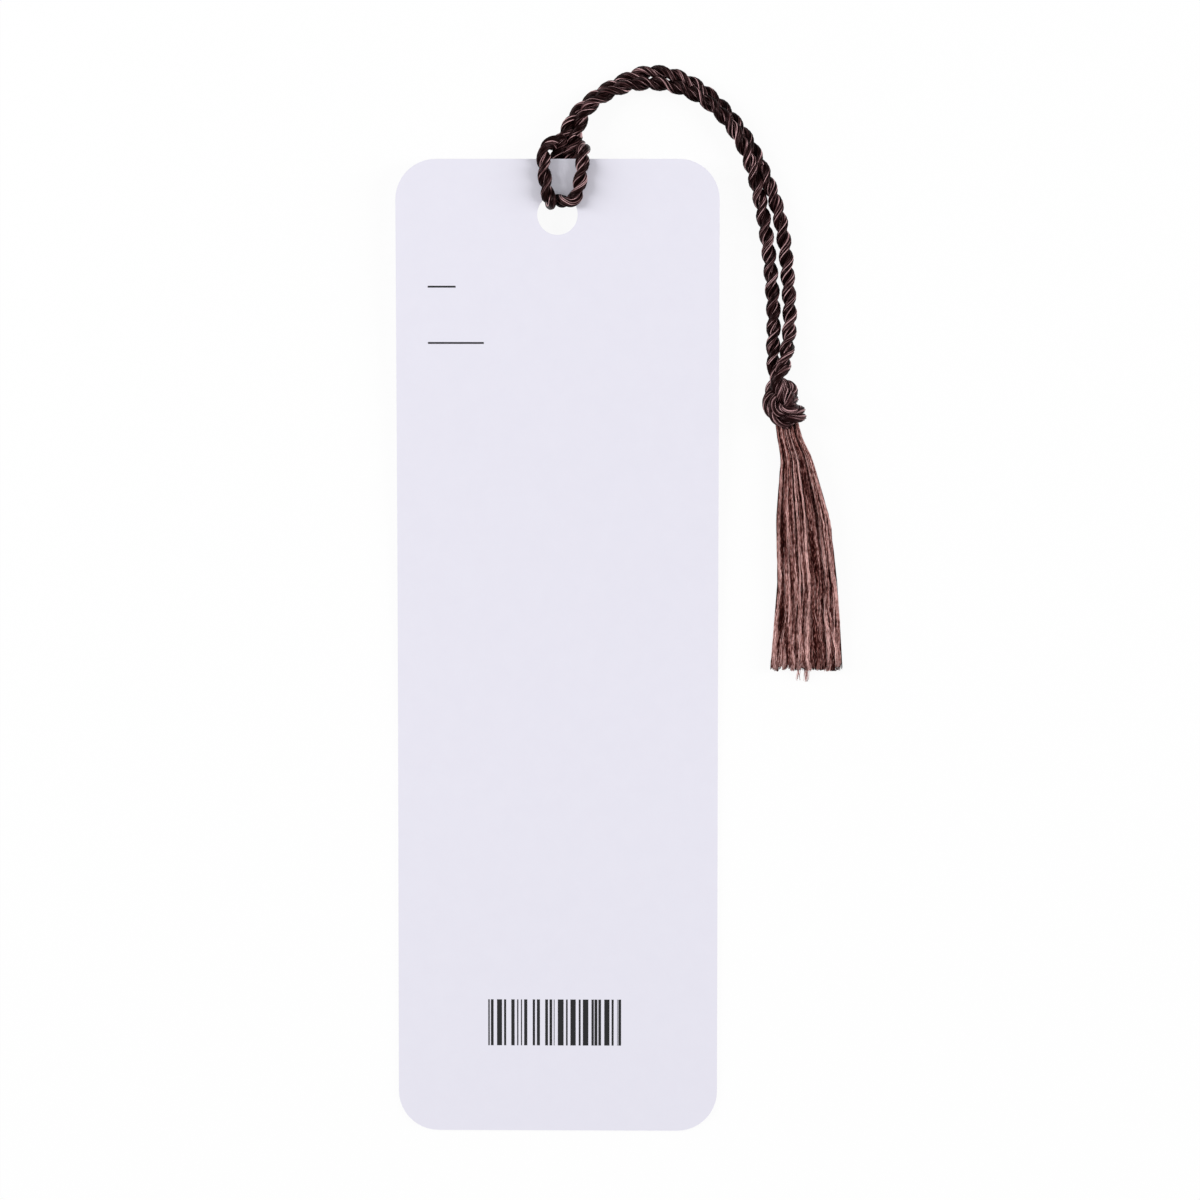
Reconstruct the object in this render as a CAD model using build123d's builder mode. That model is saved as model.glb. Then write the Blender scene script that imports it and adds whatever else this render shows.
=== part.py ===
"""Paper bookmark with a punched hole and a hitched, knotted cord tassel, lying on a table.

Millimetres. +X is to the right across the card, +Y runs along the card towards the hole and
+Z points up from the table. The origin is on the table, under the middle of the card.
"""

from build123d import *
from math import cos, pi, radians, sin, sqrt, tan
import os

# Card: a two-inch strip of coated card stock with quarter-inch corners and punch
CARD_WIDTH = 50.8
CARD_LENGTH = 154.2
CARD_THICKNESS = 0.4
CARD_CORNER_RADIUS = 6.35
HOLE_DIAMETER = 6.35
HOLE_FROM_TOP = 8.65
BEND_RADIUS = 1000.0
RAISED_ANGLE = 3.0

# Cord: one twisted cord, folded in two
CORD_DIAMETER = 1.9
CORD_CLEARANCE = 0.05
CORD_SIDES = 10
BEND_SHARE = 0.45

# Hitch round the strip between the hole and the card's top edge
TAIL_MIDDLE_X = 1.6
LEFT_STRAND_X = -2.2
LEFT_STRAND_MIDDLE_X = -2.0
RIGHT_STRAND_MIDDLE_X = 3.6
STRAND_MIDDLE_FROM_TOP = 4.6
LEFT_HOLE_ANGLE = 131.0
RIGHT_HOLE_ANGLE = 38.0
TAIL_DRIFT_UNDER_CARD = 1.6
TAIL_DRIFT_AT_EXIT = 0.25
BAR_REACH_LEFT = 2.4
BAR_REACH_RIGHT = 1.7
TAIL_CROSSING_REACH = 2.0
TAIL_EXIT_REACH = 3.6
TAIL_EXIT_DROP = 0.25

# Free legs of the cord, from the hitch to the knot, lying on the table
LEG_PITCH_AT_KNOT = CORD_DIAMETER + CORD_CLEARANCE
LEG_EXIT_RUN = 2.0
LEG_OUTER_ROUTE = [
    (2.1, 85.2, 1.6),
    (4.2, 87.9, 0.95),
    (7.8, 90.0, 0.95),
    (12.8, 91.15, 0.95),
    (18.2, 90.9, 0.95),
    (23.4, 88.2, 0.95),
    (27.4, 84.1, 0.95),
    (30.2, 79.3, 0.95),
    (32.4, 74.3, 0.95),
    (34.3, 69.6, 0.95),
    (35.6, 64.2, 0.95),
    (36.2, 58.4, 0.95),
    (36.6, 52.6, 0.95),
]
LEG_INNER_ROUTE = [
    (4.3, 85.1, 1.7),
    (6.5, 87.05, 0.95),
    (9.5, 88.55, 0.95),
    (13.2, 89.25, 0.95),
    (17.6, 88.9, 1.1),
    (22.0, 86.8, 1.6),
    (25.7, 83.3, 1.8),
    (28.4, 78.9, 1.7),
    (30.4, 74.2, 1.3),
    (32.0, 69.2, 0.95),
    (33.0, 63.6, 0.95),
    (33.7, 58.0, 0.95),
    (34.0, 52.4, 0.95),
]

# Overhand knot in the doubled cord, its route counted from the knot's middle
KNOT_CENTRE = (35.7, 39.0, 2.05)
KNOT_STRAND_DIAMETER = 1.5
KNOT_ROUTE = [
    (-0.7, 3.8, 0.5),
    (-0.5, 2.0, 0.6),
    (-0.3, 0.5, -0.2),
    (1.2, -0.7, -1.5),
    (2.7, -1.6, -0.6),
    (2.8, -2.4, 0.7),
    (1.5, -2.9, 1.9),
    (-0.3, -2.7, 1.6),
    (-1.8, -1.9, 1.2),
    (-2.6, -0.4, 0.4),
    (-2.2, 1.1, -0.4),
    (-1.0, 2.1, -1.3),
    (0.8, 2.1, -1.2),
    (1.9, 1.0, 0.1),
    (1.5, -0.6, 0.8),
    (0.9, -2.1, 0.1),
    (0.6, -3.4, -0.2),
]
KNOT_THROAT_MIDDLE_X = 35.075
KNOT_THROAT_Y = 44.9
KNOT_THROAT_Z = 1.7
KNOT_THROAT_RUN = 3.4

# Fringe: the cord's four plies, combed out below the knot
FRINGE_NECK_Y = 34.6
FRINGE_NECK_WIDTH = 3.6
FRINGE_NECK_HEIGHT = 2.8
FRINGE_ROOT_LENGTH = 1.0
FRINGE_LOCKS = 4
FRINGE_LOCK_GAP = 0.06
FRINGE_COLUMNS_IN_LOCK = 3
FRINGE_ROW_PITCH = 0.36
STRAND_FILL = 0.8
STRAND_ROOT_OVERLAP = 0.6
FRINGE_RAGGED_END = 1.4
RAGGED_STEP = 2.4
FRINGE_TABLE_CLEARANCE = 0.1
# Distance down the fringe from the neck, sideways drift of its middle, width and height there
FRINGE_STATIONS = [
    (FRINGE_ROOT_LENGTH, 0.0, FRINGE_NECK_WIDTH, FRINGE_NECK_HEIGHT),
    (4.3, 1.3, 5.1, 3.0),
    (14.0, 2.6, 8.0, 2.8),
    (24.2, 3.2, 9.5, 2.4),
    (37.2, 3.1, 11.3, 2.0),
]

os.makedirs("parts", exist_ok=True)


def corner_radii(points):
    """The widest arc at each corner that leaves a short straight on both of its runs."""
    radii = []
    for before, corner, after in zip(points, points[1:], points[2:]):
        run_in = Vector(*corner) - Vector(*before)
        run_out = Vector(*after) - Vector(*corner)
        half_turn = radians(run_in.get_angle(run_out)) / 2
        radii.append(BEND_SHARE * min(run_in.length, run_out.length) / tan(half_turn))
    return radii


def cord_tube(points, diameter):
    """A many-sided tube along straight runs joined by tangent arcs, and the line it follows."""
    with BuildPart() as tube:
        with BuildLine():
            line = FilletPolyline(*points, radius=corner_radii(points))
        with BuildSketch(Plane(origin=line @ 0, z_dir=line % 0)):
            RegularPolygon(diameter / 2, CORD_SIDES)
        sweep(path=line)
    return tube.part, line


def report_tube(name, part, points, line, diameter):
    """Print the bends of a tube and compare its volume with its section times its length."""
    section = CORD_SIDES / 2 * sin(2 * pi / CORD_SIDES) * (diameter / 2) ** 2
    expected = section * line.length
    bends = ", ".join(f"{radius:.1f}" for radius in corner_radii(points))
    print(f"{name}: length {line.length:.1f}, volume over section times length "
          f"{part.volume / expected:.4f}, bend radii {bends}")


# Card: flat on the table at its lower end, bowed up to the height of the hitch at its top end
end_lift = 2 * CORD_DIAMETER + CORD_CLEARANCE
arc_rise = BEND_RADIUS * (1 - cos(radians(RAISED_ANGLE)))
raised_length = (end_lift - arc_rise) / sin(radians(RAISED_ANGLE))
flat_length = CARD_LENGTH - BEND_RADIUS * radians(RAISED_ANGLE) - raised_length
card_span = (
    flat_length
    + BEND_RADIUS * sin(radians(RAISED_ANGLE))
    + raised_length * cos(radians(RAISED_ANGLE))
)
bottom_edge_y = -card_span / 2

with BuildPart() as card:
    with BuildSketch(Plane.YZ):
        with BuildLine():
            under_flat = Line((bottom_edge_y, 0), (bottom_edge_y + flat_length, 0))
            under_bend = JernArc(under_flat @ 1, (1, 0), BEND_RADIUS, RAISED_ANGLE)
            under_raised = PolarLine(under_bend @ 1, raised_length, RAISED_ANGLE)
            top_edge = PolarLine(under_raised @ 1, CARD_THICKNESS, RAISED_ANGLE + 90)
            over_flat = Line((bottom_edge_y, CARD_THICKNESS),
                             (bottom_edge_y + flat_length, CARD_THICKNESS))
            over_bend = JernArc(over_flat @ 1, (1, 0), BEND_RADIUS - CARD_THICKNESS, RAISED_ANGLE)
            Line(over_bend @ 1, top_edge @ 1)
            Line(over_flat @ 0, under_flat @ 0)
        make_face()
    extrude(amount=CARD_WIDTH / 2, both=True)
    corner_edges = card.edges().filter_by(lambda edge: edge.length < 2 * CARD_THICKNESS)
    fillet(corner_edges, CARD_CORNER_RADIUS)
    # The frame of the raised end: origin on its top edge, halfway through the card
    top_edge_middle = card.faces().sort_by(Axis.Y)[-1].center()
    raised_end = Plane(
        origin=(0, top_edge_middle.Y, top_edge_middle.Z),
        x_dir=(1, 0, 0),
        z_dir=(0, -sin(radians(RAISED_ANGLE)), cos(radians(RAISED_ANGLE))),
    )
    with Locations(raised_end * Location((0, -HOLE_FROM_TOP, 0))):
        Hole(HOLE_DIAMETER / 2)

card.part.label = "card"
export_step(card.part, "parts/card.step")

# Hitch: up through the hole, over the top edge, across as a bar under both tails, and back
cord_radius = CORD_DIAMETER / 2
strand_height = CARD_THICKNESS / 2 + CORD_CLEARANCE + cord_radius
cord_pitch = CORD_DIAMETER + CORD_CLEARANCE
outer_tail_x = TAIL_MIDDLE_X - cord_pitch / 2
inner_tail_x = TAIL_MIDDLE_X + cord_pitch / 2
right_strand_x = inner_tail_x + cord_pitch
hole_reach = HOLE_DIAMETER / 2 - cord_radius - 2 * CORD_CLEARANCE


def on_raised_end(across, beyond_edge, above):
    """A point given by the raised end's own directions."""
    return tuple(raised_end.from_local_coords(Vector(across, beyond_edge, above)))


def in_hole(angle):
    """Where a strand goes through the hole, as its place across and along the card."""
    across = hole_reach * cos(radians(angle))
    return across, hole_reach * sin(radians(angle)) - HOLE_FROM_TOP


def tail(tail_x):
    """A tail over the bar and out: its crossing point and its exit."""
    crossing = on_raised_end(tail_x, TAIL_CROSSING_REACH, -strand_height)
    leave = on_raised_end(
        tail_x + TAIL_DRIFT_AT_EXIT, TAIL_EXIT_REACH, -strand_height - TAIL_EXIT_DROP
    )
    return crossing, leave


left_hole_x, left_hole_y = in_hole(LEFT_HOLE_ANGLE)
right_hole_x, right_hole_y = in_hole(RIGHT_HOLE_ANGLE)
outer_crossing, outer_exit = tail(outer_tail_x)
inner_crossing, inner_exit = tail(inner_tail_x)
edge_y = top_edge_middle.Y
hitch_route = [
    outer_exit,
    outer_crossing,
    on_raised_end(outer_tail_x - TAIL_DRIFT_UNDER_CARD, left_hole_y, -strand_height),
    on_raised_end(left_hole_x, left_hole_y, strand_height),
    on_raised_end(LEFT_STRAND_MIDDLE_X, -STRAND_MIDDLE_FROM_TOP, strand_height),
    on_raised_end(LEFT_STRAND_X, BAR_REACH_LEFT, strand_height),
    (LEFT_STRAND_X, edge_y + BAR_REACH_LEFT, cord_radius),
    (right_strand_x, edge_y + BAR_REACH_RIGHT, cord_radius),
    on_raised_end(right_strand_x, BAR_REACH_RIGHT, strand_height),
    on_raised_end(RIGHT_STRAND_MIDDLE_X, -STRAND_MIDDLE_FROM_TOP, strand_height),
    on_raised_end(right_hole_x, right_hole_y, strand_height),
    on_raised_end(inner_tail_x - TAIL_DRIFT_UNDER_CARD, right_hole_y, -strand_height),
    inner_crossing,
    inner_exit,
]
hitch_loop, hitch_line = cord_tube(hitch_route, CORD_DIAMETER)
hitch_loop.label = "hitch_loop"
export_step(hitch_loop, "parts/hitch_loop.step")
report_tube("hitch_loop", hitch_loop, hitch_route, hitch_line, CORD_DIAMETER)


# Legs: from the hitch's two tails, round a loose arc and down beside the card to the knot
def leg_points(crossing, leave, middle_route, knot_x):
    """The route of one leg: straight on from its tail, and straight into the knot."""
    away = (Vector(*leave) - Vector(*crossing)).normalized()
    first_bend = Vector(*leave) + away * LEG_EXIT_RUN
    last_bend = (knot_x, KNOT_THROAT_Y + KNOT_THROAT_RUN, KNOT_THROAT_Z)
    knot_entry = (knot_x, KNOT_THROAT_Y, KNOT_THROAT_Z)
    return [leave, tuple(first_bend), *middle_route, last_bend, knot_entry]


leg_ends = {
    "cord_leg_outer": (outer_crossing, outer_exit, LEG_OUTER_ROUTE, LEG_PITCH_AT_KNOT / 2),
    "cord_leg_inner": (inner_crossing, inner_exit, LEG_INNER_ROUTE, -LEG_PITCH_AT_KNOT / 2),
}
for leg_name, (crossing, leave, middle_route, side) in leg_ends.items():
    leg_route = leg_points(crossing, leave, middle_route, KNOT_THROAT_MIDDLE_X + side)
    leg, leg_line = cord_tube(leg_route, CORD_DIAMETER)
    leg.label = leg_name
    export_step(leg, f"parts/{leg_name}.step")
    report_tube(leg_name, leg, leg_route, leg_line, CORD_DIAMETER)

# Knot: the doubled cord pulled hard into an overhand knot, with its throat and its flare
knot_route = [tuple(Vector(*KNOT_CENTRE) + Vector(*point)) for point in KNOT_ROUTE]
knot_tube, knot_line = cord_tube(knot_route, KNOT_STRAND_DIAMETER)
report_tube("overhand_knot", knot_tube, knot_route, knot_line, KNOT_STRAND_DIAMETER)
fringe_x = (knot_line @ 1).X
fringe_z = (knot_line @ 1).Z

with BuildPart() as overhand_knot:
    add(knot_tube)
    with BuildSketch(Plane((KNOT_THROAT_MIDDLE_X, KNOT_THROAT_Y, KNOT_THROAT_Z), (1, 0, 0), (0, -1, 0))):
        Ellipse(LEG_PITCH_AT_KNOT, CORD_DIAMETER / 2)
    with BuildSketch(Plane(knot_line @ 0, (1, 0, 0), knot_line % 0)):
        RegularPolygon(KNOT_STRAND_DIAMETER / 2, CORD_SIDES)
    loft()
    with BuildSketch(Plane(knot_line @ 1, (1, 0, 0), knot_line % 1)):
        RegularPolygon(KNOT_STRAND_DIAMETER / 2, CORD_SIDES)
    with BuildSketch(Plane((fringe_x, FRINGE_NECK_Y, fringe_z), (1, 0, 0), (0, -1, 0))):
        Ellipse(FRINGE_NECK_WIDTH / 2, FRINGE_NECK_HEIGHT / 2)
    loft()

overhand_knot.part.label = "overhand_knot"
export_step(overhand_knot.part, "parts/overhand_knot.step")


# Fringe: four locks of strands, each rooted in a slice of the neck and fanning out on the table
lock_pitch = FRINGE_NECK_WIDTH / FRINGE_LOCKS
column_pitch = (lock_pitch - FRINGE_LOCK_GAP) / FRINGE_COLUMNS_IN_LOCK


def across_fringe(x, down, z):
    """A plane square to the fringe, a given distance down from the neck."""
    return Plane((x, FRINGE_NECK_Y - down, z), (1, 0, 0), (0, -1, 0))


def lock_height(lock_x):
    """Height of the oval neck at one lock's middle."""
    return FRINGE_NECK_HEIGHT * sqrt(1 - (2 * lock_x / FRINGE_NECK_WIDTH) ** 2)


def strand_stations(length):
    """The stations of one strand, from inside its root to its end on the line of the last two."""
    neck = FRINGE_STATIONS[0]
    root = (neck[0] - STRAND_ROOT_OVERLAP, *neck[1:])
    before, last = FRINGE_STATIONS[-2:]
    share = (length - before[0]) / (last[0] - before[0])
    strand_end = tuple(start + (stop - start) * share for start, stop in zip(before, last))
    return [root, *FRINGE_STATIONS[:-1], strand_end]


def fringe_strand(column_x, row_z, length):
    """One four-sided strand through every station, keeping its place in the bundle."""
    with BuildPart() as strand:
        for down, drift, width, height in strand_stations(length):
            spread_x = width / FRINGE_NECK_WIDTH
            spread_z = height / FRINGE_NECK_HEIGHT
            lying_z = height / 2 + FRINGE_TABLE_CLEARANCE
            middle_z = lying_z if down > FRINGE_ROOT_LENGTH else fringe_z
            x = fringe_x + drift + column_x * spread_x
            with BuildSketch(across_fringe(x, down, middle_z + row_z * spread_z)):
                Rectangle(
                    column_pitch * STRAND_FILL * spread_x,
                    FRINGE_ROW_PITCH * STRAND_FILL * spread_z,
                )
        loft(ruled=True)
    return strand.part


for lock_number in range(FRINGE_LOCKS):
    lock_x = (lock_number - (FRINGE_LOCKS - 1) / 2) * lock_pitch
    rows = int(lock_height(lock_x) / FRINGE_ROW_PITCH)
    strands = []
    for column in range(FRINGE_COLUMNS_IN_LOCK):
        column_x = lock_x + (column - (FRINGE_COLUMNS_IN_LOCK - 1) / 2) * column_pitch
        for row in range(rows):
            row_z = (row - (rows - 1) / 2) * FRINGE_ROW_PITCH
            ragged = FRINGE_RAGGED_END * sin(RAGGED_STEP * len(strands) + lock_number)
            strands.append(fringe_strand(column_x, row_z, FRINGE_STATIONS[-1][0] + ragged))
    with BuildPart() as fringe_lock:
        with BuildSketch(across_fringe(fringe_x + lock_x, 0, fringe_z)):
            Rectangle(lock_pitch - FRINGE_LOCK_GAP, lock_height(lock_x))
        extrude(amount=FRINGE_ROOT_LENGTH)
        add(strands)
    lock_name = f"fringe_lock_{lock_number + 1}"
    fringe_lock.part.label = lock_name
    export_step(fringe_lock.part, f"parts/{lock_name}.step")
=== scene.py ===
"""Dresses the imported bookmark: a satin card, a two-ply twisted cord, its knot and its fringe.

Metres, in the frame of the CAD model: +X across the card, +Y towards its hole, +Z up from the table.
"""

import math
from collections import namedtuple

import bpy
import numpy as np
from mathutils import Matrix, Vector


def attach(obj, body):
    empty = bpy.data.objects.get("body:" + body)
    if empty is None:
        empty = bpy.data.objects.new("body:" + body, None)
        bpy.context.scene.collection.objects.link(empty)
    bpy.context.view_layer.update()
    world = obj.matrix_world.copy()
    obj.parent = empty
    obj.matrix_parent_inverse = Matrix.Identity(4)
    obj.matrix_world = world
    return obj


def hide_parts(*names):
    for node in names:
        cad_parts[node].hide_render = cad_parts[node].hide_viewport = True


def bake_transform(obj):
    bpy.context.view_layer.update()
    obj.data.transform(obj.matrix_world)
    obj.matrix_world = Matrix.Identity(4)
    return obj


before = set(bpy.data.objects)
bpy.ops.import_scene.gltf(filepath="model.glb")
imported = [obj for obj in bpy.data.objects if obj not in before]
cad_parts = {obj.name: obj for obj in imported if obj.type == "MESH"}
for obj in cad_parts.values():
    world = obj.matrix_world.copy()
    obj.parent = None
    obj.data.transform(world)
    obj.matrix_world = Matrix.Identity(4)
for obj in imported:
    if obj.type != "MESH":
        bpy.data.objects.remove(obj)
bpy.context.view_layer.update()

# A source of random values for each thing that varies, so that a change to one leaves the others alone
CORD_SEED = 7
FRINGE_SEED = 695
STRAND_SEED = 3
cord_dice = np.random.default_rng(CORD_SEED)
fringe_dice = np.random.default_rng(FRINGE_SEED)
strand_dice = np.random.default_rng(STRAND_SEED)

FULL_TURN = 2 * math.pi
BAKE_MAP = "OFBake"
SHADE_NAME = "fibre"
WHITE = (1.0, 1.0, 1.0)

# Camera
CAMERA_PLACE = (0.013597, 0.033941, 0.528055)
CAMERA_TURN_DEG = (-2.8365, 0.7541, 0.0482)
CAMERA_LENS_MM = 100.0
CAMERA_SENSOR_MM = 36.0

# Cord: plies twisted together, each a bundle of yarns
PLIES = 2
CORD_DIAMETER = 0.0019
LOOSE_CORD_DIAMETER = 0.00198
CORD_PITCH = 0.0058
CORD_TURN_START = math.pi / 2
LEG_STEPS = 28
HITCH_STEPS = 24
KNOT_STEPS = 18
YARNS = 8
FILAMENTS_IN_YARN = 3
POINTS_PER_FILAMENT = 3
YARN_GROOVE = 0.2
FILAMENT_GROOVE = 0.06
FILAMENT_TURNS_PER_TURN = 0.93
# A few filaments get light tones, which stand for the cord's sheen as painted highlights
FILAMENT_DARKNESS = 3.6

# How the cord's filaments stray, in height, in contrast and in shade, and the short dashes of painted
# sheen along them
STRAY_WAVELENGTH = 0.004
STRAY_HEIGHT = 0.04
STRAY_CONTRAST = 0.5
STRAY_SHADE = 0.08
SHEEN_DASH_LENGTH = 0.0009
SHEEN_DASH_CONTRAST = 0.8

# A ply's offset from the cord's middle and its half sizes, as shares of the cord's diameter
PLY_REACH = 0.28
PLY_RADIAL = 0.32
PLY_TANGENTIAL = 0.385

# Height of the cord's middle where it lies on the table
ON_TABLE = 0.00118

# Places along the cord, in the order that a hand would follow it
HITCH_ROUTE = [
    (0.00100, 0.08072, 0.00290),
    (0.00006, 0.07880, 0.00298),
    (-0.00080, 0.07300, 0.00263),
    (-0.00085, 0.07105, 0.00250),
    (-0.00095, 0.07025, 0.00310),
    (-0.00110, 0.07025, 0.00450),
    (-0.00135, 0.07100, 0.00500),
    (-0.00200, 0.07380, 0.00510),
    (-0.00225, 0.07855, 0.00538),
    (-0.00065, 0.07965, 0.00330),
    (0.00110, 0.08045, ON_TABLE),
    (0.00300, 0.07945, 0.00100),
    (0.00398, 0.07870, 0.00300),
    (0.00415, 0.07820, 0.00532),
    (0.00355, 0.07290, 0.00505),
    (0.00275, 0.07055, 0.00492),
    (0.00105, 0.07045, 0.00450),
    (0.00025, 0.07065, 0.00250),
    (0.00085, 0.07300, 0.00263),
    (0.00212, 0.07880, 0.00298),
    (0.00290, 0.08072, 0.00290),
]
OUTER_ROUTE = [
    (0.00100, 0.08072, 0.00290),
    (0.00190, 0.08262, 0.00275),
    (0.00330, 0.08480, 0.00170),
    (0.00600, 0.08720, ON_TABLE),
    (0.00990, 0.08940, ON_TABLE),
    (0.01390, 0.09105, ON_TABLE),
    (0.01800, 0.09060, ON_TABLE),
    (0.02290, 0.08820, ON_TABLE),
    (0.02710, 0.08410, ON_TABLE),
    (0.03050, 0.07930, ON_TABLE),
    (0.03280, 0.07430, ON_TABLE),
    (0.03460, 0.06960, ON_TABLE),
    (0.03570, 0.06420, ON_TABLE),
    (0.03625, 0.05840, ON_TABLE),
    (0.03660, 0.05260, ON_TABLE),
    (0.03640, 0.04900, 0.00140),
    (0.03600, 0.04660, 0.00230),
    (0.03560, 0.04490, 0.00270),
]
INNER_ROUTE = [
    (0.00290, 0.08072, 0.00290),
    (0.00345, 0.08270, 0.00300),
    (0.00460, 0.08500, 0.00290),
    (0.00690, 0.08690, 0.00260),
    (0.00990, 0.08835, 0.00240),
    (0.01340, 0.08910, 0.00180),
    (0.01770, 0.08885, 0.00160),
    (0.02240, 0.08700, 0.00220),
    (0.02650, 0.08350, 0.00265),
    (0.02940, 0.07890, 0.00250),
    (0.03100, 0.07420, 0.00160),
    (0.03220, 0.06920, ON_TABLE),
    (0.03310, 0.06360, ON_TABLE),
    (0.03370, 0.05800, ON_TABLE),
    (0.03405, 0.05240, ON_TABLE),
    (0.03395, 0.04900, 0.00100),
    (0.03395, 0.04660, 0.00120),
    (0.03406, 0.04490, 0.00130),
]

# The knot: places along the doubled cord, each with the way from its middle to the outer leg's cord
KNOT_ROUTE = [
    ((0.03483, 0.04490, 0.00200), (0.00077, 0.00000, 0.00070)),
    ((0.03445, 0.04320, 0.00250), (0.00045, 0.00000, 0.00072)),
    ((0.03460, 0.04160, 0.00280), (-0.00025, 0.00010, 0.00065)),
    ((0.03540, 0.04010, 0.00210), (-0.00050, -0.00030, 0.00035)),
    ((0.03665, 0.03890, 0.00100), (-0.00030, -0.00070, 0.00005)),
    ((0.03785, 0.03825, 0.00170), (0.00065, -0.00075, 0.00000)),
    ((0.03775, 0.03785, 0.00300), (0.00062, -0.00075, 0.00005)),
    ((0.03680, 0.03700, 0.00375), (0.00020, -0.00074, -0.00010)),
    ((0.03550, 0.03675, 0.00375), (0.00000, -0.00074, -0.00010)),
    ((0.03425, 0.03730, 0.00330), (-0.00035, -0.00055, -0.00025)),
    ((0.03355, 0.03870, 0.00260), (-0.00040, -0.00010, -0.00055)),
    ((0.03375, 0.04040, 0.00180), (-0.00045, 0.00020, -0.00045)),
    ((0.03450, 0.04150, 0.00095), (-0.00035, 0.00060, 0.00000)),
    ((0.03580, 0.04160, 0.00095), (0.00010, 0.00065, 0.00000)),
    ((0.03665, 0.04080, 0.00180), (0.00030, 0.00030, -0.00050)),
    ((0.03660, 0.03940, 0.00270), (0.00020, 0.00010, -0.00060)),
    ((0.03630, 0.03780, 0.00230), (0.00030, 0.00000, -0.00055)),
    ((0.03630, 0.03600, 0.00175), (0.00050, 0.00000, -0.00020)),
    ((0.03630, 0.03500, 0.00160), (0.00060, 0.00000, 0.00000)),
]
KNOT_CORD_DIAMETER = 0.00172
KNOT_SQUEEZE_RUN = 0.003
KNOT_PITCH = 0.0068
# Painted light on the knot's wraps: paler where their filaments spread and catch more light
KNOT_PAINTED_LIGHT = 0.16
LOOSE_RUN = 0.045

# Where the tails are pressed wider, at the card's edge
TAILS_PLACE = (0.00115, 0.07830, 0.00298)
TAILS_REACH = 0.0018
TAILS_FULLER = 0.22

# Where each leg is parted into its upper and lower stretches
LEG_SPLIT_Y = 0.0762
LEG_SPLIT_X = 0.020

# Fringe: distance down from its neck, drift of its middle, width and height there
FRINGE_NECK = (0.0363, 0.0346)
FRINGE_STATIONS = [
    (-0.0016, -0.0002, 0.0034, 0.0024),
    (0.0010, 0.0003, 0.0037, 0.0028),
    (0.0043, 0.0014, 0.0047, 0.0030),
    (0.0140, 0.0025, 0.0081, 0.0028),
    (0.0242, 0.0032, 0.0090, 0.0024),
    (0.0372, 0.0031, 0.0108, 0.0020),
]
FRINGE_PIECES = 4
FRINGE_LENGTH = 0.0372
FRONT_LOCKS = 5
BACK_LOCKS = 2
FILAMENTS_IN_LOCK = 95
FILAMENT_STEPS = 30
FILAMENT_SIDES = 3
FILAMENT_RADIUS = 0.00005
FILAMENT_THICKNESSES = (0.8, 1.2)

# The locks' places and sizes, as shares of a lock's room or of the fringe's half width and half height
LOCK_SHIFT = 0.2
FRONT_HEIGHTS = (0.0, 0.5)
BACK_HEIGHTS = (-0.65, -0.45)
FRONT_HALF_WIDTHS = (0.38, 0.75)
BACK_HALF_WIDTH = 0.85
FRONT_HALF_HEIGHT = 0.45
BACK_HALF_HEIGHT = 0.35
FRINGE_EDGE = 1.05

# How uneven the ends are, in metres
LOCK_UNEVEN = 0.0004
FILAMENT_UNEVEN = 0.0005

# Waves of the locks, and the crimp and roaming of the filaments, as shares of the fringe's half sizes.
# The wavelengths are in metres, and the roaming's length is a share of a filament's.
LOCK_WAVELENGTHS = (0.010, 0.019)
LOCK_WAVE = 0.035
LOCK_WAVE_RISE = 0.2
LOCK_RIPPLE = 0.012
RIPPLES_IN_WAVE = 2.7
CRIMP = 0.018
CRIMP_RISE = 2.0
CRIMP_WAVELENGTH = 0.0030
CRIMP_SHIFT = 1.3
ROAM = 0.05
ROAM_LENGTH = 0.25

# The few strays at the fringe's end: their places across it, and how they differ
STRAY_TUFTS = (-0.2, 0.0)
STRAY_TUFT_HALF = 0.035
STRAY_TUFT_EVERY = 3
STRAY_TUFT_LENGTH = 0.0019
# The strays' paler tone takes the back locks' painted shade off them where they reach past the rest
STRAY_TUFT_PALER = 0.7

# Shades of the fringe, from 0 to 1, and where across it or along it they change
FRONT_TONES = (0.40, 1.0)
# The back locks' tones are painted shade, darker for lying under the front locks
BACK_SHADED_TONES = (0.0, 0.3)
TONE_SPREAD = 0.35
# Painted shade at the edges of each lock, where the locks meet
LOCK_EDGE_PAINTED_SHADE = 0.35
# Painted shade along the fringe's parting, a dark band where its locks part
PARTING_PLACE = 0.2
PARTING_HALF = 0.16
PARTING_PAINTED_SHADE = 0.12
STRAND_WIDTH = 0.06
STRAND_CONTRAST = 0.38
STREAK_LENGTH = 0.013
STREAK_CONTRAST = 0.15
TIPS_PALER = 0.1

# Flecks along the fringe's filaments: how many across, along and above
FLECKS_PER_METRE = (5000.0, 1500.0, 5000.0)
FLECK_MIDDLE = 0.505
FLECK_CONTRAST = 1.6

# Colours of the yarn, by shade. The cord's are the fringe's floss painted darker, as painted shade in
# its twist, and their light end is painted sheen.
CORD_SHADED_AND_SHEEN_COLOURS = [
    (0.0, (0.004, 0.001, 0.001)),
    (0.25, (0.012, 0.0035, 0.0035)),
    (0.6, (0.1, 0.045, 0.047)),
    (1.0, (0.6, 0.37, 0.38)),
]
CORD_ROUGHNESS = 0.3
CORD_SPECULAR = 0.12
CORD_TINT = (1.0, 0.62, 0.64)
FRINGE_COLOURS = [
    (0.0, (0.012, 0.0012, 0.0008)),
    (0.3, (0.06, 0.010, 0.0075)),
    (0.65, (0.4, 0.18, 0.16)),
    (1.0, (0.87, 0.56, 0.53)),
]
FRINGE_ROUGHNESS = 0.36
FRINGE_SPECULAR = 0.1
FRINGE_TINT = (1.0, 0.42, 0.4)
SHEEN_SPREAD = 0.7
SHEEN_TURN = 0.25

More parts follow.
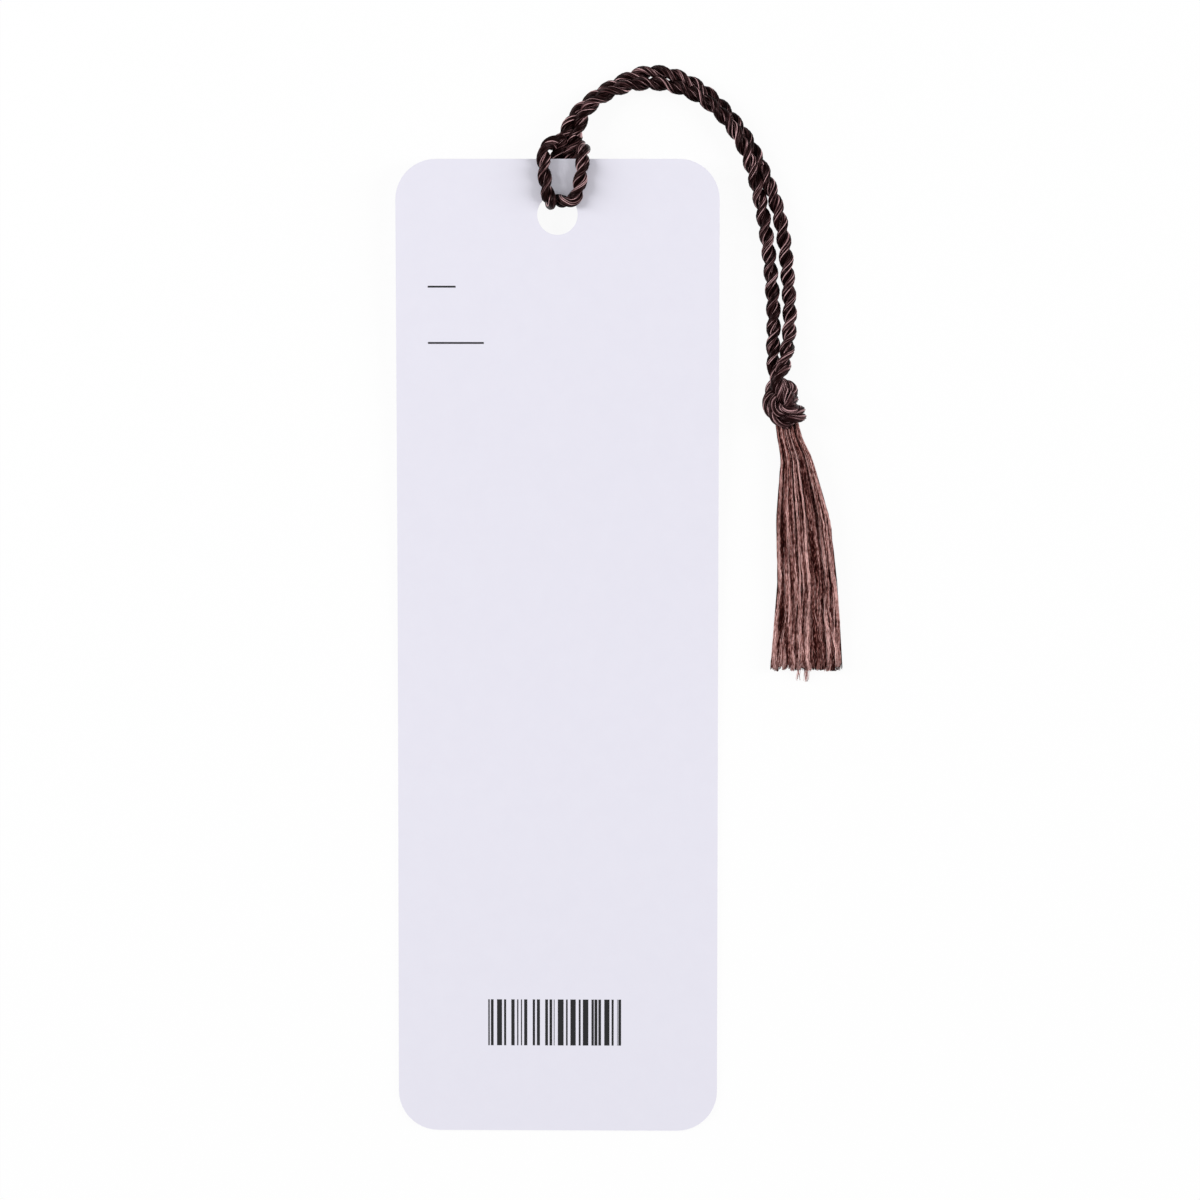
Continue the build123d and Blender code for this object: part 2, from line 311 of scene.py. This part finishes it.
# Print on the card: left, right, lower and upper edges, and the waves whose sum parts the bars
CARD_RULES = [
    (-0.0204, -0.0160, 0.0570, 0.0573),
    (-0.0204, -0.0116, 0.0482, 0.0485),
]
CARD_BARS = (-0.0111, 0.0101, -0.0634, -0.0560)
CARD_BAR_BEATS = (0.00066, 0.00107, 0.0019)
CARD_BAR_LEVEL = -0.1

# Card stock: face and cut edge, told apart by the upward part of their normals
CARD_FACE_UPWARD = 0.5
CARD_FACE_COLOURS = [
    (0.3, (0.793, 0.779, 0.872)),
    (0.7, (0.807, 0.793, 0.884)),
]
CARD_EDGE_COLOUR = (0.86, 0.85, 0.84)
CARD_INK_COLOUR = (0.012, 0.012, 0.014)
CARD_ROUGHNESS = 0.42
MOTTLE_PER_METRE = 300.0
MOTTLE_DETAIL = 6.0
MOTTLE_ROUGHNESS = 0.7
GRAIN_PER_METRE = 4000.0
GRAIN_DETAIL = 3.0
GRAIN_STRENGTH = 0.2
GRAIN_HEIGHT = 0.00001

# Floor, which lies as far below the table's level as the fringe stays above it
FLOOR_GAP = 0.0001
FLOOR_SIZE = 4.0
FLOOR_COLOUR = (0.9, 0.9, 0.9)
FLOOR_ROUGHNESS = 0.9
FLOOR_WHITE_SHARE = 0.93

# Lamps: place, width and length, and power in watts
LAMP_AIM = (0.01, 0.0, 0.0)
LAMPS = {
    "left_softbox": ((-0.75, 0.20, 0.47), (0.3, 0.7), 6.6),
    "right_softbox": ((0.79, 0.12, 0.47), (0.3, 0.7), 5.9),
}
WORLD_STRENGTH = 0.34
BACKDROP_STRENGTH = 1.0

# A cord's middle line with its frame, the locks of the fringe, and the filaments in them
Line = namedtuple("Line", "points side up distance thickness turn")
Locks = namedtuple("Locks", "front across above half_width half_height length tone wavelength phase")
Filaments = namedtuple("Filaments", "lock spin out seat tuft down")


# Lines and frames
def spline_points(route, steps):
    """Points along the smooth line whose control points are the route's."""
    curve = bpy.data.curves.new("route", "CURVE")
    curve.dimensions = "3D"
    curve.resolution_u = steps
    spline = curve.splines.new("NURBS")
    spline.points.add(len(route) - 1)
    for control, place in zip(spline.points, route):
        control.co = (*place, 1.0)
    spline.order_u = 3
    spline.use_endpoint_u = True
    holder = bpy.data.objects.new("route", curve)
    drawn = bpy.data.meshes.new_from_object(holder)
    points = np.array([vertex.co for vertex in drawn.vertices])
    bpy.data.objects.remove(holder)
    bpy.data.curves.remove(curve)
    bpy.data.meshes.remove(drawn)
    return points


def unit(vectors):
    """Vectors of length 1 that point the same ways."""
    return vectors / np.linalg.norm(vectors, axis=-1, keepdims=True)


def distances(points):
    """How far along a line each of its points lies."""
    steps = np.linalg.norm(np.diff(points, axis=0), axis=1)
    return np.concatenate([[0.0], np.cumsum(steps)])


def framed(points, thickness, turn):
    """A line with two directions across it that turn as little as they can along it."""
    tangent = unit(np.gradient(points, axis=0))
    side = np.empty_like(points)
    across = np.cross(tangent[0], (0.0, 0.0, 1.0))
    for number, along in enumerate(tangent):
        across = across - along * (across @ along)
        across = across / np.linalg.norm(across)
        side[number] = across
    return Line(points, side, np.cross(tangent, side), distances(points), thickness, turn)


def stretch(line, first, last):
    """The part of a line from one of its points to another, both with it."""
    return Line(*(values[first:last + 1] for values in line))


def slow_noise(source, distance, wavelength, draws):
    """Smooth random values between -1 and 1 along a distance, one row for each draw."""
    knots = np.arange(distance.min() - wavelength, distance.max() + 2 * wavelength, wavelength)
    heights = source.uniform(-1.0, 1.0, (draws, len(knots)))
    return np.stack([np.interp(distance, knots, row) for row in heights])


# Meshes
def bake_places(strands, count, around):
    """Places on the bake map for the corners of tubes' sides and ends, one row for each strand."""
    along = np.linspace(0.0, 1.0, count)
    row, ring, place = np.meshgrid(
        np.arange(strands), np.arange(count - 1), np.arange(around), indexing="ij"
    )
    corners = []
    for ring_step, place_step in ((0, 0), (0, 1), (1, 1), (1, 0)):
        height = (row + (place + place_step) / around) / strands
        corners.append(np.stack([along[ring + ring_step], height], axis=-1))
    sides = np.stack(corners, axis=-2).reshape(-1, 2)
    cap_row = (np.arange(strands)[:, None] + np.arange(around) / around) / strands
    caps = np.concatenate(
        [np.stack([np.full_like(cap_row, end), cap_row], axis=-1) for end in (0.0, 1.0)]
    ).reshape(-1, 2)
    return np.concatenate([sides, caps])


def strands_object(name, rings, shade, material):
    """One closed tube for each strand, from rings of points, with its shade and its bake map."""
    strands, count, around = rings.shape[:3]
    index = np.arange(strands * count * around).reshape(strands, count, around)
    following = np.roll(index, -1, axis=2)
    quads = np.stack(
        [index[:, :-1], following[:, :-1], following[:, 1:], index[:, 1:]], axis=-1
    ).reshape(-1, 4)
    caps = np.concatenate([index[:, 0, ::-1], index[:, -1]])
    mesh = bpy.data.meshes.new(name)
    mesh.from_pydata(rings.reshape(-1, 3).tolist(), [], quads.tolist() + caps.tolist())
    mesh.shade_smooth()
    fibre = mesh.attributes.new(SHADE_NAME, "FLOAT", "POINT")
    fibre.data.foreach_set("value", shade.astype(np.float32).ravel())
    bake_map = mesh.uv_layers.new(name=BAKE_MAP)
    places = bake_places(strands, count, around)
    bake_map.uv.foreach_set("vector", places.astype(np.float32).ravel())

    piece = bpy.data.objects.new(name, mesh)
    bpy.context.scene.collection.objects.link(piece)
    mesh.materials.append(material)
    return piece


def ply_rings(line, phase, painted_light):
    """Rings of one ply of a cord, grooved between its yarns, and the shade of its filaments."""
    filaments = YARNS * FILAMENTS_IN_YARN
    around = filaments * POINTS_PER_FILAMENT

    def along_filaments(wavelength):
        noise = slow_noise(cord_dice, line.distance, wavelength, filaments)
        return np.repeat(noise, POINTS_PER_FILAMENT, axis=0).T

    seat = np.arange(around) * FULL_TURN / around
    yarn_bulge = np.abs(np.sin(seat * YARNS / 2))
    filament_bulge = np.abs(np.sin(seat * filaments / 2))
    stray = along_filaments(STRAY_WAVELENGTH)
    grooves = 1 - YARN_GROOVE * (1 - yarn_bulge) - FILAMENT_GROOVE * (1 - filament_bulge)

    turn = (line.turn + phase)[:, None]
    angle = seat + FILAMENT_TURNS_PER_TURN * turn
    thickness = line.thickness[:, None]
    oval = PLY_RADIAL * PLY_TANGENTIAL / np.hypot(
        PLY_TANGENTIAL * np.cos(angle - turn), PLY_RADIAL * np.sin(angle - turn)
    )
    size = thickness * oval * (grooves + STRAY_HEIGHT * stray)
    across = thickness * PLY_REACH * np.cos(turn) + size * np.cos(angle)
    above = thickness * PLY_REACH * np.sin(turn) + size * np.sin(angle)
    rings = line.points[:, None] + across[..., None] * line.side[:, None]
    rings = rings + above[..., None] * line.up[:, None]

    # Painted sheen: a few filaments take light tones, broken into short dashes along them
    tones = np.linspace(0.0, 1.0, filaments) ** FILAMENT_DARKNESS
    tone = np.repeat(cord_dice.permutation(tones), POINTS_PER_FILAMENT)
    sheen_dash = along_filaments(SHEEN_DASH_LENGTH)
    shade = tone * (1 + STRAY_CONTRAST * stray + SHEEN_DASH_CONTRAST * sheen_dash) + STRAY_SHADE * stray + painted_light
    return rings, shade.clip(0.0, 1.0)


def twisted_cords(name, lines, material, painted_light=0.0):
    """Twisted cords along lines of as many points each, as one piece."""
    phases = [ply * FULL_TURN / PLIES for ply in range(PLIES)]
    plies = [ply_rings(line, phase, painted_light) for line in lines for phase in phases]
    rings, shade = (np.stack(values) for values in zip(*plies))
    return strands_object(name, rings, shade, material)


# Materials
def node_material(name):
    """A new material, with its nodes, its links and its shader."""
    material = bpy.data.materials.new(name)
    material.use_nodes = True
    nodes = material.node_tree.nodes
    return material, nodes, material.node_tree.links, nodes["Principled BSDF"]


def ramp_node(nodes, stops):
    """A colour ramp with these stops, each a place and a colour."""
    ramp = nodes.new("ShaderNodeValToRGB")
    elements = ramp.color_ramp.elements
    while len(elements) < len(stops):
        elements.new(0.5)
    for element, (place, colour) in zip(elements, stops):
        element.position = place
        element.color = (*colour, 1.0)
    return ramp


def math_node(nodes, links, operation, *values):
    """The output of a maths node whose inputs are numbers or other nodes' outputs."""
    node = nodes.new("ShaderNodeMath")
    node.operation = operation
    for socket, value in zip(node.inputs, values):
        if isinstance(value, float):
            socket.default_value = value
        else:
            links.new(value, socket)
    return node.outputs[0]


def noise_node(nodes, links, vector, **settings):
    """The output of a noise texture at a place."""
    noise = nodes.new("ShaderNodeTexNoise")
    for socket, value in settings.items():
        noise.inputs[socket].default_value = value
    links.new(vector, noise.inputs["Vector"])
    return noise.outputs["Fac"]


def flecked(nodes, links, shade, contrast):
    """A shade with short flecks along the filaments."""
    place = nodes.new("ShaderNodeTexCoord")
    stretched = nodes.new("ShaderNodeMapping")
    stretched.inputs["Scale"].default_value = FLECKS_PER_METRE
    links.new(place.outputs["Object"], stretched.inputs["Vector"])
    noise = noise_node(nodes, links, stretched.outputs["Vector"], Scale=1.0)
    centred = math_node(nodes, links, "SUBTRACT", noise, FLECK_MIDDLE)
    return math_node(nodes, links, "MULTIPLY_ADD", centred, contrast, shade)


def yarn_material(name, stops, roughness, specular, tint, fleck=0.0):
    """Silky filaments: colour by filament, with or without flecks, and a sheen spread across them."""
    material, nodes, links, shader = node_material(name)
    fibre = nodes.new("ShaderNodeAttribute")
    fibre.attribute_name = SHADE_NAME
    shade = fibre.outputs["Fac"]
    if fleck:
        shade = flecked(nodes, links, shade, fleck)
    ramp = ramp_node(nodes, stops)
    links.new(shade, ramp.inputs["Fac"])
    links.new(ramp.outputs["Color"], shader.inputs["Base Color"])
    along = nodes.new("ShaderNodeTangent")
    along.direction_type = "UV_MAP"
    along.uv_map = BAKE_MAP
    links.new(along.outputs["Tangent"], shader.inputs["Tangent"])
    shader.inputs["Anisotropic"].default_value = SHEEN_SPREAD
    shader.inputs["Anisotropic Rotation"].default_value = SHEEN_TURN
    shader.inputs["Roughness"].default_value = roughness
    shader.inputs["Specular IOR Level"].default_value = specular
    shader.inputs["Specular Tint"].default_value = (*tint, 1.0)
    return material


def card_ink(maths, x, y):
    """Where ink lies, seen from above: the rules, and the bars where a sum of waves is high enough."""

    def within(left, right, low, high):
        across = maths("MULTIPLY", maths("GREATER_THAN", x, left), maths("LESS_THAN", x, right))
        along = maths("MULTIPLY", maths("GREATER_THAN", y, low), maths("LESS_THAN", y, high))
        return maths("MULTIPLY", across, along)

    def wave(wavelength):
        return maths("SINE", maths("MULTIPLY", x, FULL_TURN / wavelength))

    beat = wave(CARD_BAR_BEATS[0])
    for wavelength in CARD_BAR_BEATS[1:]:
        beat = maths("ADD", beat, wave(wavelength))
    ink = maths("MULTIPLY", within(*CARD_BARS), maths("GREATER_THAN", beat, CARD_BAR_LEVEL))
    for rule in CARD_RULES:
        ink = maths("MAXIMUM", ink, within(*rule))
    return ink


def card_material():
    """Coated card: a mottled lilac-white face, a paler cut edge, two short rules and a block of bars."""
    material, nodes, links, shader = node_material("coated_card")

    def maths(operation, *values):
        return math_node(nodes, links, operation, *values)

    place = nodes.new("ShaderNodeTexCoord").outputs["Object"]
    axes = nodes.new("ShaderNodeSeparateXYZ")
    links.new(place, axes.inputs["Vector"])
    facing = nodes.new("ShaderNodeNewGeometry")
    normal = nodes.new("ShaderNodeSeparateXYZ")
    links.new(facing.outputs["Normal"], normal.inputs["Vector"])
    upward = normal.outputs["Z"]
    ink = card_ink(maths, axes.outputs["X"], axes.outputs["Y"])
    ink = maths("MULTIPLY", ink, maths("GREATER_THAN", upward, CARD_FACE_UPWARD))
    edge = maths("LESS_THAN", maths("ABSOLUTE", upward), CARD_FACE_UPWARD)

    mottle = noise_node(
        nodes, links, place, Scale=MOTTLE_PER_METRE, Detail=MOTTLE_DETAIL, Roughness=MOTTLE_ROUGHNESS
    )
    face = ramp_node(nodes, CARD_FACE_COLOURS)
    links.new(mottle, face.inputs["Fac"])
    colour = face.outputs["Color"]
    for factor, paint in ((edge, CARD_EDGE_COLOUR), (ink, CARD_INK_COLOUR)):
        mix = nodes.new("ShaderNodeMix")
        mix.data_type = "RGBA"
        mix.inputs["B"].default_value = (*paint, 1.0)
        links.new(factor, mix.inputs["Factor"])
        links.new(colour, mix.inputs["A"])
        colour = mix.outputs["Result"]
    links.new(colour, shader.inputs["Base Color"])

    bump = nodes.new("ShaderNodeBump")
    bump.inputs["Strength"].default_value = GRAIN_STRENGTH
    bump.inputs["Distance"].default_value = GRAIN_HEIGHT
    grain = noise_node(nodes, links, place, Scale=GRAIN_PER_METRE, Detail=GRAIN_DETAIL)
    links.new(grain, bump.inputs["Height"])
    links.new(bump.outputs["Normal"], shader.inputs["Normal"])
    shader.inputs["Roughness"].default_value = CARD_ROUGHNESS
    return material


def floor_material():
    """A white floor that keeps the object's shadow."""
    material, nodes, links, shader = node_material("white_floor")
    shader.inputs["Base Color"].default_value = (*FLOOR_COLOUR, 1.0)
    shader.inputs["Roughness"].default_value = FLOOR_ROUGHNESS
    shader.inputs["Specular IOR Level"].default_value = 0.0
    path = nodes.new("ShaderNodeLightPath")
    shown = path.outputs["Is Camera Ray"]
    for ray in ("Is Glossy Ray", "Is Transmission Ray"):
        shown = math_node(nodes, links, "MAXIMUM", shown, path.outputs[ray])
    share = math_node(nodes, links, "MULTIPLY", shown, FLOOR_WHITE_SHARE)
    white = nodes.new("ShaderNodeEmission")
    mix = nodes.new("ShaderNodeMixShader")
    links.new(share, mix.inputs["Fac"])
    links.new(shader.outputs["BSDF"], mix.inputs[1])
    links.new(white.outputs["Emission"], mix.inputs[2])
    links.new(mix.outputs["Shader"], nodes["Material Output"].inputs["Surface"])
    return material


# Camera
camera_data = bpy.data.cameras.new("camera")
camera_data.lens = CAMERA_LENS_MM
camera_data.sensor_width = CAMERA_SENSOR_MM
camera = bpy.data.objects.new("camera", camera_data)
camera.location = CAMERA_PLACE
camera.rotation_euler = [math.radians(angle) for angle in CAMERA_TURN_DEG]
bpy.context.scene.collection.objects.link(camera)
bpy.context.scene.camera = camera
bpy.context.scene.view_settings.view_transform = "Standard"

# Cord: one line from the fringe through the knot, round the hitch and back through the knot
cord_material = yarn_material("twisted_rayon", CORD_SHADED_AND_SHEEN_COLOURS, CORD_ROUGHNESS, CORD_SPECULAR, CORD_TINT)
outer_in_knot = spline_points([np.add(place, away) for place, away in KNOT_ROUTE], KNOT_STEPS)
inner_in_knot = spline_points([np.subtract(place, away) for place, away in KNOT_ROUTE], KNOT_STEPS)
runs = [
    outer_in_knot[::-1],
    spline_points(OUTER_ROUTE, LEG_STEPS)[::-1],
    spline_points(HITCH_ROUTE, HITCH_STEPS),
    spline_points(INNER_ROUTE, LEG_STEPS),
    inner_in_knot,
]
run_ends = np.cumsum([len(run) - 1 for run in runs])
cord_points = np.concatenate([runs[0]] + [run[1:] for run in runs[1:]])
knot_top_outer, hitch_start, hitch_end, knot_top_inner, last_point = (int(end) for end in run_ends)


def cord_thickness(points):
    """The cord's diameter at each point: fuller at the card's edge and near the knot, squeezed in it."""
    far = distances(points)
    into_knot = np.maximum(far[knot_top_outer] - far, far - far[knot_top_inner])
    reach = [-LOOSE_RUN, -LOOSE_RUN / 2, 0.0, KNOT_SQUEEZE_RUN]
    diameter = [CORD_DIAMETER, LOOSE_CORD_DIAMETER, LOOSE_CORD_DIAMETER, KNOT_CORD_DIAMETER]
    from_tails = np.linalg.norm(points - TAILS_PLACE, axis=1) / TAILS_REACH
    return np.interp(into_knot, reach, diameter) * (1 + TAILS_FULLER * np.exp(-from_tails ** 2))


def cord_turn(points):
    """The angle of the cord's lay at each point, which is looser in the knot."""
    far = distances(points)
    free = np.clip(far, far[knot_top_outer], far[knot_top_inner])
    return CORD_TURN_START + FULL_TURN * (free / CORD_PITCH + (far - free) / KNOT_PITCH)


def leg_split(first, last):
    """The place along a leg where its lower stretch starts."""
    leg = cord_points[first:last + 1]
    lower = (leg[:, 1] < LEG_SPLIT_Y) & (leg[:, 0] > LEG_SPLIT_X)
    return first + int(np.argmin(np.where(lower, LEG_SPLIT_Y - leg[:, 1], np.inf)))


whole_cord = framed(cord_points, cord_thickness(cord_points), cord_turn(cord_points))
outer_split = leg_split(knot_top_outer, hitch_start)
inner_split = leg_split(hitch_end, knot_top_inner)
cord_lines = {
    "cord_outer_lower": stretch(whole_cord, knot_top_outer, outer_split),
    "cord_outer_upper": stretch(whole_cord, outer_split, hitch_start),
    "cord_hitch": stretch(whole_cord, hitch_start, hitch_end),
    "cord_inner_upper": stretch(whole_cord, hitch_end, inner_split),
    "cord_inner_lower": stretch(whole_cord, inner_split, knot_top_inner),
}
cords = {name: twisted_cords(name, [line], cord_material) for name, line in cord_lines.items()}
knot_lines = [stretch(whole_cord, 0, knot_top_outer), stretch(whole_cord, knot_top_inner, last_point)]
# The knot's wraps carry painted light, paler than the rest of the cord
knot = twisted_cords("knot_wraps", knot_lines, cord_material, painted_light=KNOT_PAINTED_LIGHT)

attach(cords["cord_hitch"], "card")
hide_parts("hitch_loop")
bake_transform(knot)
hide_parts("overhand_knot")
for leg in ("outer", "inner"):
    upper = cords[f"cord_{leg}_upper"]
    lower = cords[f"cord_{leg}_lower"]
    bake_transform(upper)
    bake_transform(lower)
    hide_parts(f"cord_leg_{leg}")
    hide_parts(f"cord_leg_{leg}")

# Fringe: the cord's ends combed out into locks of filaments
fringe_material = yarn_material(
    "combed_rayon",
    FRINGE_COLOURS,
    FRINGE_ROUGHNESS,
    FRINGE_SPECULAR,
    FRINGE_TINT,
    fleck=FLECK_CONTRAST,
)
stations = np.array(FRINGE_STATIONS)

# How far down its filament each point lies, from 0 to 1
share_down = np.linspace(0.0, 1.0, FILAMENT_STEPS)


def fringe_locks(number):
    """The locks of a quarter of the fringe, the front ones first."""
    count = FRONT_LOCKS + BACK_LOCKS
    order = np.arange(count)
    front = order < FRONT_LOCKS
    width = 2.0 / FRINGE_PIECES
    left = -1.0 + width * number
    room = np.where(front, width / FRONT_LOCKS, width / BACK_LOCKS)
    slot = np.where(front, order, order - FRONT_LOCKS)

    def drawn(low, high):
        return fringe_dice.uniform(low, high, count)

    return Locks(
        front=front,
        across=left + room * (slot + 0.5 + drawn(-LOCK_SHIFT, LOCK_SHIFT)),
        above=np.where(front, drawn(*FRONT_HEIGHTS), drawn(*BACK_HEIGHTS)),
        half_width=room * np.where(front, drawn(*FRONT_HALF_WIDTHS), BACK_HALF_WIDTH),
        half_height=np.where(front, FRONT_HALF_HEIGHT, BACK_HALF_HEIGHT),
        length=FRINGE_LENGTH + drawn(-LOCK_UNEVEN, LOCK_UNEVEN),
        tone=np.where(front, drawn(*FRONT_TONES), drawn(*BACK_SHADED_TONES)),
        wavelength=drawn(*LOCK_WAVELENGTHS),
        phase=drawn(0.0, FULL_TURN),
    )


def combed_filaments(locks):
    """The filaments in the locks: their seats across the fringe, and how far down their points lie."""
    lock = Locks(*(np.repeat(values, FILAMENTS_IN_LOCK) for values in locks))
    count = len(lock.front)
    spin = fringe_dice.uniform(0.0, FULL_TURN, count)
    out = np.sqrt(fringe_dice.uniform(0.0, 1.0, count))
    seat = lock.across + lock.half_width * out * np.cos(spin)
    tuft = (np.abs(seat[:, None] - STRAY_TUFTS) < STRAY_TUFT_HALF).any(axis=1)
    tuft = tuft & ~lock.front & (np.arange(count) % STRAY_TUFT_EVERY == 0)
    length = lock.length + fringe_dice.uniform(-FILAMENT_UNEVEN, FILAMENT_UNEVEN, count)
    length = length + STRAY_TUFT_LENGTH * tuft
    start = stations[0, 0]
    down = start + (length[:, None] - start) * share_down
    return Filaments(lock, spin, out, seat, tuft, down)


def filament_points(hair):
    """Points along the filaments, which wave with their lock, crimp and roam."""
    lock = hair.lock
    down = hair.down
    drift, wide, high = (np.interp(down, stations[:, 0], stations[:, column]) for column in (1, 2, 3))
    phase = FULL_TURN * down / lock.wavelength[:, None] + lock.phase[:, None]
    wave = (LOCK_WAVE * np.sin(phase) + LOCK_RIPPLE * np.sin(RIPPLES_IN_WAVE * phase)) * share_down
    roam = slow_noise(fringe_dice, share_down, ROAM_LENGTH, len(hair.seat))
    crimp_phase = FULL_TURN * down / CRIMP_WAVELENGTH + CRIMP_SHIFT * hair.spin[:, None]
    crimp = CRIMP * np.sin(crimp_phase + lock.phase[:, None])
    across = hair.seat[:, None] + wave + crimp + ROAM * roam * share_down
    above = (lock.above + lock.half_height * hair.out * np.sin(hair.spin))[:, None]
    above = above + CRIMP_RISE * crimp + LOCK_WAVE_RISE * np.cos(phase) * share_down
    x = FRINGE_NECK[0] + drift + wide / 2 * np.clip(across, -FRINGE_EDGE, FRINGE_EDGE)
    y = FRINGE_NECK[1] - down
    z = FLOOR_GAP + FILAMENT_RADIUS + high / 2 * (1 + np.clip(above, -1.0, 1.0))
    return np.stack([x, y, z], axis=-1)


def filament_rings(points):
    """Rings round each point of the filaments, some of which are thicker than others."""
    tangent = unit(np.gradient(points, axis=1))
    side = unit(np.cross(tangent, (0.0, 0.0, 1.0)))
    up = np.cross(tangent, side)
    angle = np.arange(FILAMENT_SIDES) * FULL_TURN / FILAMENT_SIDES
    around = np.cos(angle)[:, None] * side[:, :, None] + np.sin(angle)[:, None] * up[:, :, None]
    radius = FILAMENT_RADIUS * fringe_dice.uniform(*FILAMENT_THICKNESSES, len(points))
    return points[:, :, None] + radius[:, None, None, None] * around


def filament_shades(hair):
    """Shades along the filaments, by lock, filament, strand and streak, with painted shade under the
    front locks, at the locks' edges and in the parting.
    """
    tone = hair.lock.tone + fringe_dice.uniform(-TONE_SPREAD, TONE_SPREAD, len(hair.seat))
    tone = tone - LOCK_EDGE_PAINTED_SHADE * hair.out * np.abs(np.cos(hair.spin))
    tone = tone - PARTING_PAINTED_SHADE * np.exp(-((hair.seat - PARTING_PLACE) / PARTING_HALF) ** 2)
    tone = tone + STRAY_TUFT_PALER * hair.tuft
    tone = tone + STRAND_CONTRAST * slow_noise(strand_dice, hair.seat, STRAND_WIDTH, 1)[0]
    phase = FULL_TURN * hair.down / STREAK_LENGTH + hair.lock.phase[:, None] + hair.spin[:, None]
    shade = tone[:, None] + STREAK_CONTRAST * np.sin(phase) + TIPS_PALER * share_down
    return np.repeat(shade[:, :, None], FILAMENT_SIDES, axis=2).clip(0.0, 1.0)


def fringe_piece(number):
    """A quarter of the fringe, as locks of filaments that keep together on their way down."""
    hair = combed_filaments(fringe_locks(number))
    rings = filament_rings(filament_points(hair))
    return strands_object(f"fringe_hair_{number + 1}", rings, filament_shades(hair), fringe_material)


for number in range(FRINGE_PIECES):
    piece = fringe_piece(number)
    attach(piece, "tassel")
    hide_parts(f"fringe_lock_{number + 1}")

# The free stretches of the cord, which this loop leaves as they are
for name, line in cord_lines.items():
    if name == "cord_hitch":
        continue

# Card
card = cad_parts["card"]
card.data.materials.clear()
card.data.materials.append(card_material())

# Floor
bpy.ops.mesh.primitive_plane_add(size=FLOOR_SIZE, location=(0.0, 0.0, -FLOOR_GAP))
floor = bpy.context.object
floor.name = "floor"
floor.data.materials.append(floor_material())


# Lamps and world
def softbox(name, place, size, power):
    """A large soft lamp that faces the object."""
    lamp = bpy.data.lights.new(name, "AREA")
    lamp.shape = "RECTANGLE"
    lamp.size, lamp.size_y = size
    lamp.energy = power
    holder = bpy.data.objects.new(name, lamp)
    holder.location = place
    aim = Vector(LAMP_AIM) - Vector(place)
    holder.rotation_euler = aim.to_track_quat("-Z", "Y").to_euler()
    bpy.context.scene.collection.objects.link(holder)


def studio_world():
    """Dim light from all round, with a white backdrop for the camera."""
    world = bpy.data.worlds.new("studio")
    world.use_nodes = True
    nodes = world.node_tree.nodes
    links = world.node_tree.links
    path = nodes.new("ShaderNodeLightPath")
    mix = nodes.new("ShaderNodeMixShader")
    links.new(path.outputs["Is Camera Ray"], mix.inputs["Fac"])
    around = nodes["Background"]
    backdrop = nodes.new("ShaderNodeBackground")
    lights = ((around, WORLD_STRENGTH), (backdrop, BACKDROP_STRENGTH))
    for socket, (light, strength) in zip(mix.inputs[1:], lights):
        light.inputs["Color"].default_value = (*WHITE, 1.0)
        light.inputs["Strength"].default_value = strength
        links.new(light.outputs["Background"], socket)
    links.new(mix.outputs["Shader"], nodes["World Output"].inputs["Surface"])
    return world


for name, (place, size, power) in LAMPS.items():
    softbox(name, place, size, power)
bpy.context.scene.world = studio_world()
